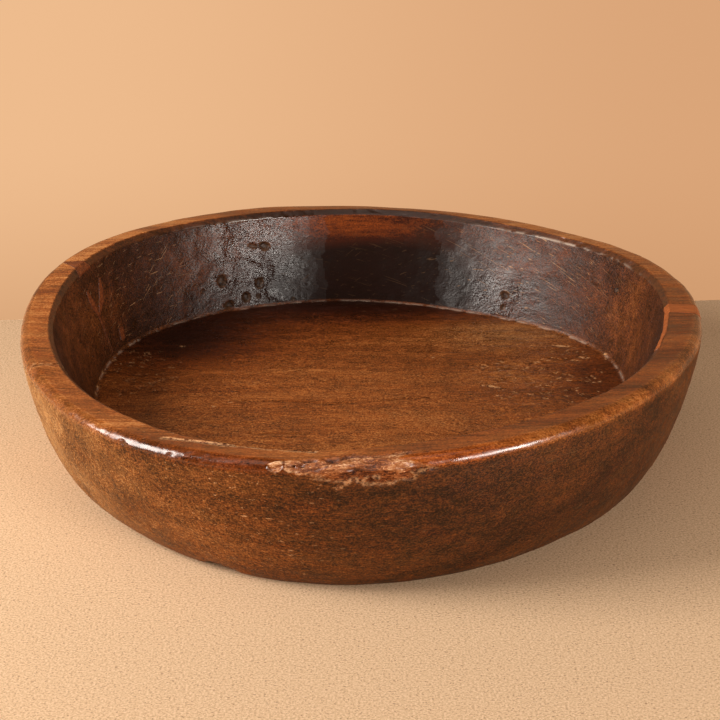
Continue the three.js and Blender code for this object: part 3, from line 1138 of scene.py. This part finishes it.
def soft_light(name, bearing, elevation, distance, width, height, power, colour, target):
    """A large soft light at a bearing and elevation from its target."""
    data = bpy.data.lights.new(name, "AREA")
    data.shape = "RECTANGLE"
    data.size = width
    data.size_y = height
    data.energy = power
    data.color = colour
    light = add_object(name, data)
    turn = np.radians(bearing)
    rise = np.radians(elevation)
    away = Vector((np.cos(turn) * np.cos(rise), np.sin(turn) * np.cos(rise), np.sin(rise)))
    light.location = target + away * distance
    aim(light, target)


def add_stage():
    left_end, right_end = TABLE_BACK
    corners = (
        (-TABLE_HALF_WIDTH, TABLE_FRONT, 0.0), (TABLE_HALF_WIDTH, TABLE_FRONT, 0.0),
        (TABLE_HALF_WIDTH, right_end, 0.0), (-TABLE_HALF_WIDTH, left_end, 0.0),
    )
    mesh = bpy.data.meshes.new("floor")
    mesh.from_pydata(corners, [], [(0, 1, 2, 3)])
    mesh.materials.append(sand_floor())
    floor = add_object("floor", mesh)


def add_world():
    """A peach backdrop below eye level. Above it, the room: a warm wall behind and a dim front."""
    world = bpy.data.worlds.new("studio")
    world.use_nodes = True
    nodes = Nodes(world.node_tree)
    parts = nodes.tree.nodes.new("ShaderNodeSeparateXYZ")
    nodes.join(nodes.coordinates["Generated"], parts.inputs[0])
    x, y, z = parts.outputs

    # Lighter at the left and darker low down: a painted fall-off of light
    backdrop = nodes.blend(nodes.step(x, -0.25, 0.25), BACKDROP_LIT_LEFT, BACKDROP_DIM_RIGHT)
    backdrop = nodes.blend(nodes.step(z, -0.5, -0.25), BACKDROP_DIM_LOW, backdrop)
    room = nodes.blend(nodes.step(y, -0.1, 0.5), ROOM_FRONT, ROOM_BACK)
    room = nodes.blend(nodes.step(z, 0.3, 0.9), room, ROOM_TOP)
    colour = nodes.blend(nodes.step(z, 0.0, 0.03), backdrop, room)
    nodes.join(colour, nodes.tree.nodes["Background"].inputs["Color"])
    bpy.context.scene.world = world


def add_lights():
    middle = Vector((0.0, 0.0, 0.07))
    soft_light("left_softbox", -162.0, 28.0, 1.5, 0.6, 0.8, 32.5, (1.0, 0.93, 0.86), middle)
    soft_light("right_softbox", -50.0, 11.0, 1.6, 0.65, 0.34, 24.0, (1.0, 0.93, 0.86), middle)
    soft_light("overhead", -110.0, 74.0, 2.2, 1.6, 1.6, 8.0, (1.0, 0.93, 0.84), middle)


# ---- the model

def add_fillings():
    bright_fill = fill_wood("fill_wood", 0.0)
    darker_fill = fill_wood("darker_fill_wood", 1.0)
    # Ranges of the grids that hold the footprints: round the rim or the wall, and by station or height
    rim = (END["outside"] - 3.0, END["chamfer"] + 4.0)
    right = (round_rim(STRIP_START) - 4.0, round_rim(BAND_BEARING) + 14.0)
    patch = (round_rim(158.0), round_rim(167.0))
    split = (round_wall(155.0), round_wall(165.0))
    plug = (round_wall(150.5), round_wall(155.5))
    fillings = (
        ("right_rim_filling", "right_rim_fill", right_fill_gap, on_rim, right, rim, 0.6, bright_fill),
        ("left_rim_filling", "left_rim_fill", left_patch_gap, on_rim, patch, rim, 0.5, darker_fill),
        ("left_split_filling", "left_split_fill", left_split_gap, on_wall, split, (32.0, 98.0), 0.5, darker_fill),
        ("left_wall_filling", "left_wall_plug", left_plug_gap, on_wall, plug, (34.0, 51.0), 0.5, darker_fill),
    )
    for name, node, *plan in fillings:
        piece = filling_piece(name, *plan)
        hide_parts(node)
        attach(piece, "root")


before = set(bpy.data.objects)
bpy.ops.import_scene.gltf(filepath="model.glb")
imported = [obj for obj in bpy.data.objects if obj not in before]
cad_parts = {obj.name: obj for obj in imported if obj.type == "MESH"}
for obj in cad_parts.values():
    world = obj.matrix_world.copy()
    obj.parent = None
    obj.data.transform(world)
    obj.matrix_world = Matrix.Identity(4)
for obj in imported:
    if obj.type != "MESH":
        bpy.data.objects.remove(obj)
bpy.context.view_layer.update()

add_camera()
add_stage()
add_world()
add_lights()

bowl = bowl_piece()
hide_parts("bowl_body")
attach(bowl, "root")
add_fillings()

bpy.context.scene.view_settings.view_transform = "Standard"
